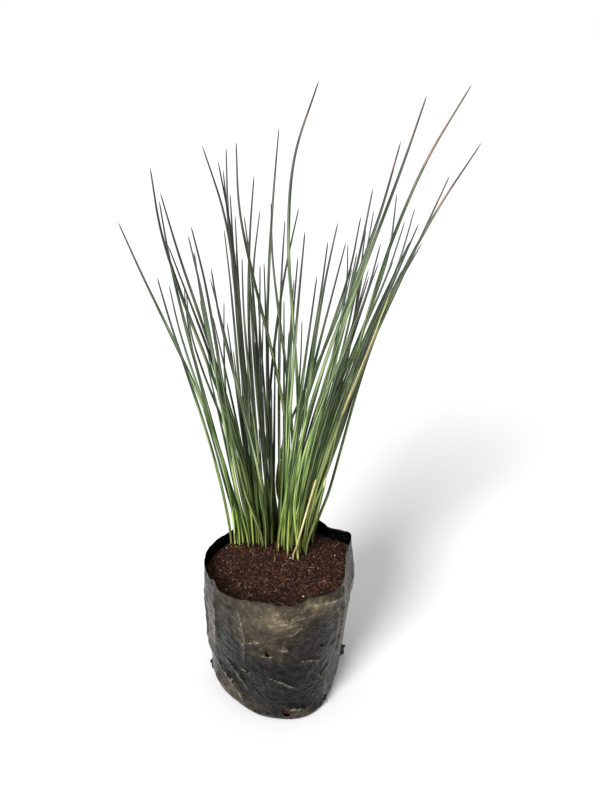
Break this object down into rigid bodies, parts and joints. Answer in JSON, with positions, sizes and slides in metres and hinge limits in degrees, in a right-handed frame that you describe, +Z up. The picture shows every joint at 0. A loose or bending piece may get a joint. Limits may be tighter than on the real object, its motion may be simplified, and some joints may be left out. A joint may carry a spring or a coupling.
{
  "type": "potted hard rush",
  "caption": "Tuft of thin upright blue-green rush stems, fanning out, planted in a soft black film grow bag of dark potting mix.",
  "frame": {"origin": "middle of the grow bag's flat underside, on the ground", "axes": "+Z up along the tuft, -Y towards the side seen in the picture, +X to the picture's right"},
  "size_m": [0.3034, 0.223, 0.5895],
  "materials": {
    "bag_film": "thin crinkled black film with a dusty sheen",
    "potting_mix": "loose dark reddish-brown peat and coir with pale grains",
    "green_stem": "finely ribbed living stem with a soft waxy sheen",
    "dry_stem": "dead straw-coloured stem, matt",
    "root": "matt wiry root"
  },
  "bodies": {
    "root": {"grow_bag": "bag_film", "potting_mix": "potting_mix", "stem_01": "green_stem", "stem_02": "green_stem", "stem_03": "green_stem", "stem_04": "green_stem", "stem_05": "green_stem", "stem_06": "green_stem", "stem_07": "green_stem", "stem_08": "green_stem", "stem_09": "green_stem", "stem_10": "green_stem", "stem_11": "green_stem", "stem_12": "green_stem", "stem_13": "green_stem", "stem_14": "green_stem", "stem_15": "green_stem", "stem_16": "green_stem", "stem_17": "green_stem", "stem_18": "green_stem", "stem_19": "green_stem", "stem_20": "green_stem", "stem_21": "green_stem", "stem_22": "green_stem", "stem_23": "green_stem", "stem_24": "green_stem", "stem_25": "green_stem", "stem_26": "green_stem", "stem_27": "green_stem", "stem_28": "green_stem", "stem_29": "green_stem", "stem_30": "green_stem", "stem_31": "green_stem", "stem_32": "green_stem", "stem_33": "green_stem", "stem_34": "green_stem", "stem_35": "green_stem", "stem_36": "green_stem", "stem_37": "green_stem", "stem_38": "green_stem", "stem_39": "green_stem", "stem_40": "green_stem", "stem_41": "green_stem", "stem_42": "green_stem", "stem_43": "green_stem", "stem_44": "green_stem", "stem_45": "green_stem", "stem_46": "green_stem", "stem_47": "green_stem", "stem_48": "green_stem", "stem_49": "green_stem", "stem_50": "green_stem", "stem_51": "green_stem", "stem_52": "green_stem", "stem_53": "green_stem", "dry_stem_01": "dry_stem", "dry_stem_02": "dry_stem", "dry_stub_01": "dry_stem", "drain_root": "root"}
  },
  "joints": []
}
